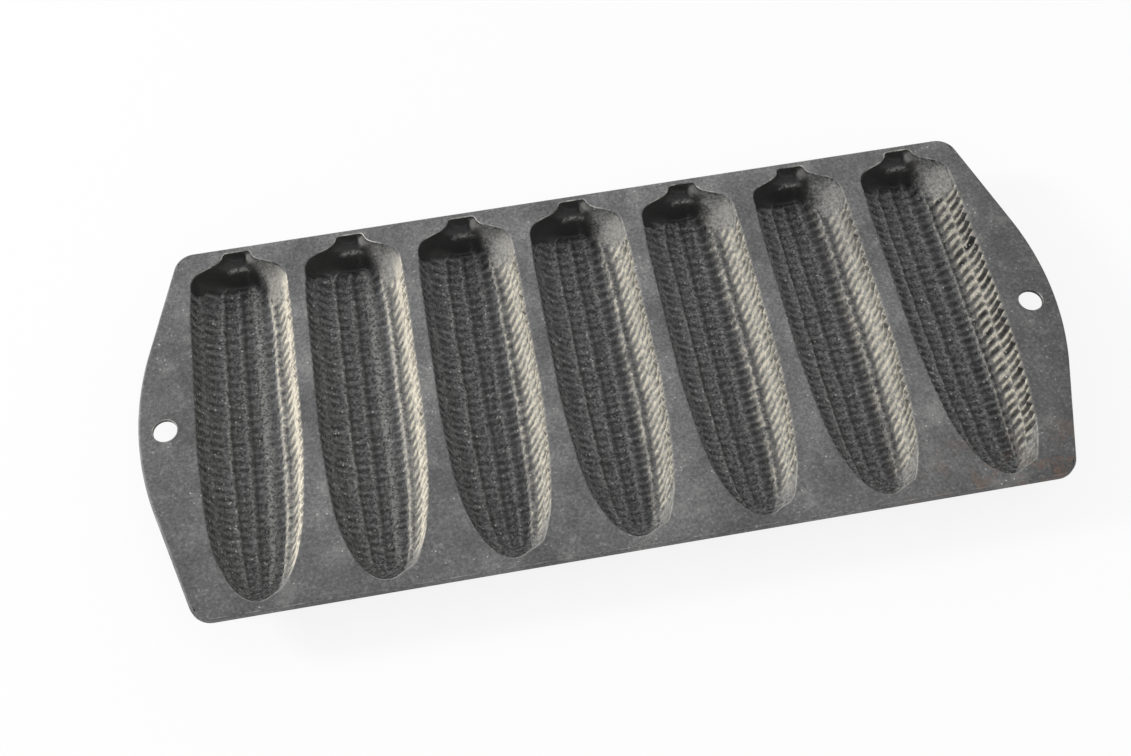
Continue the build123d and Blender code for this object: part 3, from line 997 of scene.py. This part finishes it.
def with_kernels(mesh, tree, iron, ear):
    """The mesh with its kernel relief carved in, as a plain mesh."""
    blank = bpy.data.objects.new(mesh.name, mesh)
    bpy.context.scene.collection.objects.link(blank)
    carving = blank.modifiers.new("kernels", "NODES")
    carving.node_group = tree
    values = {
        "Notch Height": float(notch_heights[ear]), "Notch Back": float(notch_back_shares[ear]),
        "Notch Power": float(notch_powers[ear]),
        "Wander": wander_height, "Wander Length": wander_length,
        "Grain Height": grain_height, "Grain Length": grain_length,
        "Seed": ear + first_seed, "Iron": iron}
    for item in tree.interface.items_tree:
        if item.in_out == "INPUT" and item.name in values:
            carving[item.identifier] = values[item.name]
    depsgraph = bpy.context.evaluated_depsgraph_get()
    carved = bpy.data.meshes.new_from_object(blank.evaluated_get(depsgraph), depsgraph=depsgraph)
    bpy.data.objects.remove(blank)

    # No grain at the rim stands above the plate
    places = np.empty(len(carved.vertices) * 3, np.float32)
    carved.vertices.foreach_get("co", places)
    places[2::3] = np.minimum(places[2::3], plate_top)
    carved.vertices.foreach_set("co", places)
    return carved


def coated(tree, colour, coats, value):
    """A colour with thin coats over it, each with its share and its own colour."""
    for share, code in coats:
        inputs = {"Factor": value[share], BELOW: colour, ABOVE: srgb(code)}
        colour = add_node(tree, "ShaderNodeMix", inputs, data_type="RGBA")
    return colour


def iron_values(tree, spot):
    """What varies over the iron, by name: places, marks, noises, dots, ramps and shares."""
    node = partial(add_node, tree)
    place = node("ShaderNodeSeparateXYZ", {0: spot})
    off_middle = node("ShaderNodeMath", {0: place.outputs["X"]}, operation="ABSOLUTE")
    value = {"x": place.outputs["X"], "y": place.outputs["Y"], "off middle": off_middle}
    for name in ("rung", "pocket", "wear", "soot", "rim", "dust", "bowl", "thin", "hollow"):
        value[name] = node("ShaderNodeAttribute", attribute_name=name).outputs["Fac"]
    for name, (size, detail, roughness) in noises.items():
        value[name] = node(
            "ShaderNodeTexNoise",
            {"Vector": spot, "Scale": 1 / (size * MM), "Detail": detail, "Roughness": roughness})
    for name, spacing in dots.items():
        value[name] = node(
            "ShaderNodeTexVoronoi",
            {"Vector": spot, "Scale": 1 / (spacing * MM), "Randomness": 1.0})
    for name, (source, low, high, start, end) in ramps.items():
        value[name] = node(
            "ShaderNodeMapRange",
            {"Value": value[source], "From Min": low, "From Max": high,
             "To Min": start, "To Max": end})
    for name, (first, *others) in products.items():
        value[name] = value[first]
        for other in others:
            factor = value.get(other, other)
            value[name] = node("ShaderNodeMath", {0: value[name], 1: factor}, operation="MULTIPLY")
    return value


def seasoned_cast_iron():
    """Cast iron, sand cast and seasoned with baked oil: near black, dull, finely pitted, paler
    where it is rubbed, with flour dust on the walls that face the lamp, painting their light too, and
    painted shade and highlights."""
    material = bpy.data.materials.new("seasoned cast iron")
    material.use_nodes = True
    tree = material.node_tree
    tree.nodes.clear()
    node = partial(add_node, tree)
    where = node("ShaderNodeTexCoord")
    value = iron_values(tree, where.outputs["Object"])

    # The plate: oil baked on in patches, darker towards the ends, and towards the front and the right as
    # painted sheen falling off, with the grain of the sand mould, pale scuffs and clusters of bright specks
    oiled = node(
        "ShaderNodeMix", {"Factor": value["oil"], BELOW: srgb("#5a5a5b"), ABOVE: srgb("#777777")},
        data_type="RGBA")
    oiled = node("ShaderNodeVectorMath", {0: oiled, "Scale": value["rubbing"]}, operation="SCALE")
    oiled = node(
        "ShaderNodeVectorMath", {0: oiled, "Scale": value["grain shade"]}, operation="SCALE")
    plate = coated(tree, oiled, plate_coats, value)

    # The moulds: black, with grey dust in the pits, painted shade, painted highlights and wear
    pitted = node(
        "ShaderNodeMix", {"Factor": value["pit"], BELOW: srgb("#2b2b2c"), ABOVE: srgb("#848585")},
        data_type="RGBA")
    moulds = coated(tree, pitted, mould_coats, value)

    # Both, with bare iron along the rims, its pale line also painted shine, and thin rust at the front right
    # corner
    casting = node(
        "ShaderNodeMix", {"Factor": value["hollow"], BELOW: plate, ABOVE: moulds},
        data_type="RGBA")
    casting = coated(tree, casting, casting_coats, value)

    # Flour dust laid only where a wall faces the lamp, left and back, so it paints that light too, and
    # on the right shoulder as if it faced the lamp; blotched where thin, thinner in the painted pocket shade
    facing = node(
        "ShaderNodeVectorMath", {0: where.outputs["Normal"], 1: window_direction},
        operation="DOT_PRODUCT")
    lamp_facing = node(
        "ShaderNodeMapRange", {"Value": facing, "From Min": 0.22, "From Max": 0.72},
        interpolation_type="SMOOTHSTEP")
    dust = node("ShaderNodeMath", {0: lamp_facing, 1: value["bowl lean"]}, operation="MAXIMUM")
    even = node(
        "ShaderNodeMix", {"Factor": value["bowl"], 2: value["flour here"], 3: 0.7},
        data_type="FLOAT")
    blotched = node(
        "ShaderNodeMix", {"Factor": value["thin"], 2: 1.0, 3: value["blotch"]}, data_type="FLOAT")
    out_of_pocket_shade = node(
        "ShaderNodeMath", {0: 1.0, 1: value["dust in pockets"]}, operation="SUBTRACT")
    for factor in (value["dust"], even, blotched, out_of_pocket_shade):
        dust = node("ShaderNodeMath", {0: dust, 1: factor}, operation="MULTIPLY")
    tint = node(
        "ShaderNodeMix",
        {"Factor": value["high dust"], BELOW: srgb("#a3a19a"), ABOVE: srgb("#dbd3bf")},
        data_type="RGBA")
    tint = coated(tree, tint, [("heavy dust", "#f4ead6")], value)
    tint = node("ShaderNodeVectorMath", {0: tint, "Scale": value["dust grain"]}, operation="SCALE")
    dusted = node("ShaderNodeMix", {"Factor": dust, BELOW: casting, ABOVE: tint}, data_type="RGBA")

    roughness = node("ShaderNodeMapRange", {"Value": dust, "To Min": 0.55, "To Max": 0.95})
    bump = node(
        "ShaderNodeBump", {"Strength": 0.6, "Distance": 0.15 * MM, "Height": value["grain"]})
    bump = node(
        "ShaderNodeBump",
        {"Strength": 0.35, "Distance": 0.6 * MM, "Height": value["patches"], "Normal": bump})
    surface = node(
        "ShaderNodeBsdfPrincipled",
        {"Base Color": dusted, "Roughness": roughness, "Normal": bump})
    node("ShaderNodeOutputMaterial", {"Surface": surface})
    return material


def white_paper():
    """Paper under the pan: white to the camera, with the faint shadow that the pan leaves."""
    material = bpy.data.materials.new("white paper")
    material.use_nodes = True
    tree = material.node_tree
    tree.nodes.clear()
    ray = add_node(tree, "ShaderNodeLightPath")
    matt = add_node(tree, "ShaderNodeBsdfDiffuse", {"Color": srgb("#f2f2f2")})
    glow = add_node(tree, "ShaderNodeEmission", {"Color": srgb("#ffffff"), "Strength": 1.0})
    share = add_node(
        tree, "ShaderNodeMath", {0: ray.outputs["Is Camera Ray"], 1: paper_glow_share}, operation="MULTIPLY")
    mixed = add_node(
        tree, "ShaderNodeMixShader", {0: share.outputs[0], 1: matt.outputs[0], 2: glow.outputs[0]})
    add_node(tree, "ShaderNodeOutputMaterial", {"Surface": mixed.outputs[0]})
    return material


def dress():
    """Puts each finished piece of the casting in the place of its solid."""
    iron = seasoned_cast_iron()
    tree = kernel_relief_tree()
    for ear in range(ear_count):
        mesh = with_kernels(corn_ear_mould(ear), tree, iron, ear)
        place_piece(mesh, f"corn_ear_casting_{ear + 1}", f"corn_ear_mould_{ear + 1}")
    for side, name in ((-1, "left"), (1, "right")):
        mesh = hanging_end(side)
        mesh.materials.append(iron)
        place_piece(mesh, f"hanging_end_casting_{name}", f"hanging_end_{name}")


def place_piece(mesh, name, node):
    """Shows a finished mesh instead of the solid that it dresses."""
    mesh.name = name
    piece = bpy.data.objects.new(name, mesh)
    bpy.context.scene.collection.objects.link(piece)
    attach(piece, "root")
    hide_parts(node)


def floor():
    """Plain white floor under the pan."""
    reach = paper_reach
    mesh = bpy.data.meshes.new("floor")
    corners = [(-reach, -reach, 0), (reach, -reach, 0), (reach, reach, 0), (-reach, reach, 0)]
    mesh.from_pydata(corners, [], [(0, 1, 2, 3)])
    mesh.materials.append(white_paper())
    sheet = bpy.data.objects.new("floor", mesh)
    bpy.context.scene.collection.objects.link(sheet)


def lamp(name, place, target, size, power):
    """A square soft lamp that shines on a point."""
    light = bpy.data.lights.new(name, "AREA")
    light.shape = "SQUARE"
    light.size = size
    light.energy = power
    holder = bpy.data.objects.new(name, light)
    holder.location = place
    aim = Vector(target) - Vector(place)
    holder.rotation_euler = aim.to_track_quat("-Z", "Y").to_euler()
    bpy.context.scene.collection.objects.link(holder)


def studio():
    """Soft light from low on the left and a white surround."""
    window = Vector(window_direction) * window_distance
    lamp("window", window, (0, 0, 0), window_size, window_power)
    world = bpy.data.worlds.new("studio")
    world.use_nodes = True
    tree = world.node_tree
    tree.nodes.clear()
    ray = add_node(tree, "ShaderNodeLightPath")
    level = add_node(
        tree, "ShaderNodeMapRange",
        {"Value": ray.outputs["Is Camera Ray"], "To Min": surround_level, "To Max": 1.0})
    back = add_node(tree, "ShaderNodeBackground", {"Color": srgb("#ffffff"), "Strength": level.outputs[0]})
    add_node(tree, "ShaderNodeOutputWorld", {"Surface": back.outputs[0]})
    bpy.context.scene.world = world


def camera():
    """Camera where the photograph was taken from."""
    focal_pixels = 1426.59
    image_width = 1131
    lens = bpy.data.cameras.new("camera")
    lens.sensor_width = 36.0
    lens.lens = focal_pixels / image_width * lens.sensor_width
    lens.clip_start = 0.01
    holder = bpy.data.objects.new("camera", lens)
    right = Vector((0.98506608, -0.17067326, -0.0227035))
    down = Vector((-0.15920854, -0.85271313, -0.49752685))
    forward = right.cross(down)
    turn = Matrix((right, -down, -forward)).transposed()
    place = Vector((-50.88, -269.11, 462.54)) * MM + Vector((0, 0, plate_top))
    holder.matrix_world = Matrix.Translation(place) @ turn.to_4x4()
    bpy.context.scene.collection.objects.link(holder)
    bpy.context.scene.camera = holder


bpy.context.scene.view_settings.view_transform = "Standard"
camera()
studio()
floor()
dress()
